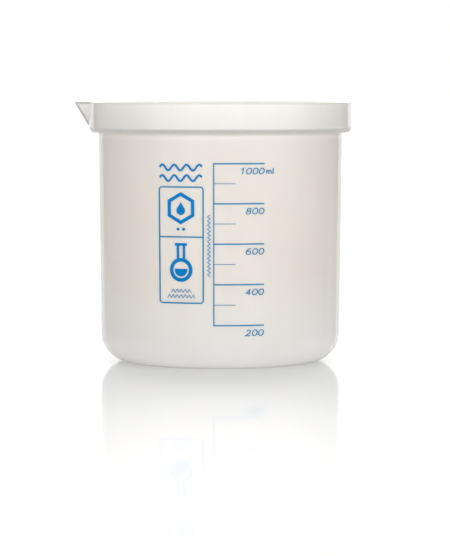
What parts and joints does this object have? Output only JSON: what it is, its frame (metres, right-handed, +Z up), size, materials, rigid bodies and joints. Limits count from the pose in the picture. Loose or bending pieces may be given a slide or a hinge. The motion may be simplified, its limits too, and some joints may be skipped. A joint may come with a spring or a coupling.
{
  "type": "beaker",
  "caption": "Low-form laboratory beaker in translucent white plastic, with a turned-down rim, a V-shaped pouring spout, a rounded base and a printed volume scale.",
  "frame": {"origin": "centre of the flat underside, on the vessel's axis, in the plane it stands on", "axes": "+Z up along the vessel's axis; the pouring spout points to -X; the printed scale faces -Y"},
  "size_m": [0.1361, 0.1288, 0.127],
  "materials": {
    "polypropylene": "translucent white moulded polypropylene with a soft satin surface",
    "print": "blue screen-printed ink"
  },
  "bodies": {
    "root": {"vessel": "polypropylene", "graduation_scale": "print", "numeral_200_digit_1": "print", "numeral_200_digit_2": "print", "numeral_200_digit_3": "print", "numeral_400_digit_1": "print", "numeral_400_digit_2": "print", "numeral_400_digit_3": "print", "numeral_600_digit_1": "print", "numeral_600_digit_2": "print", "numeral_600_digit_3": "print", "numeral_800_digit_1": "print", "numeral_800_digit_2": "print", "numeral_800_digit_3": "print", "numeral_1000_digit_1": "print", "numeral_1000_digit_2": "print", "numeral_1000_digit_3": "print", "numeral_1000_digit_4": "print", "unit_letter_m": "print", "unit_letter_l": "print", "panel_frame": "print", "sign_hexagon": "print", "sign_drop": "print", "sign_dot_left": "print", "sign_dot_right": "print", "sign_flask": "print", "sign_flask_liquid": "print", "note_line_1": "print", "note_line_2": "print", "side_note": "print", "ripple_1": "print", "ripple_2": "print"}
  },
  "joints": []
}
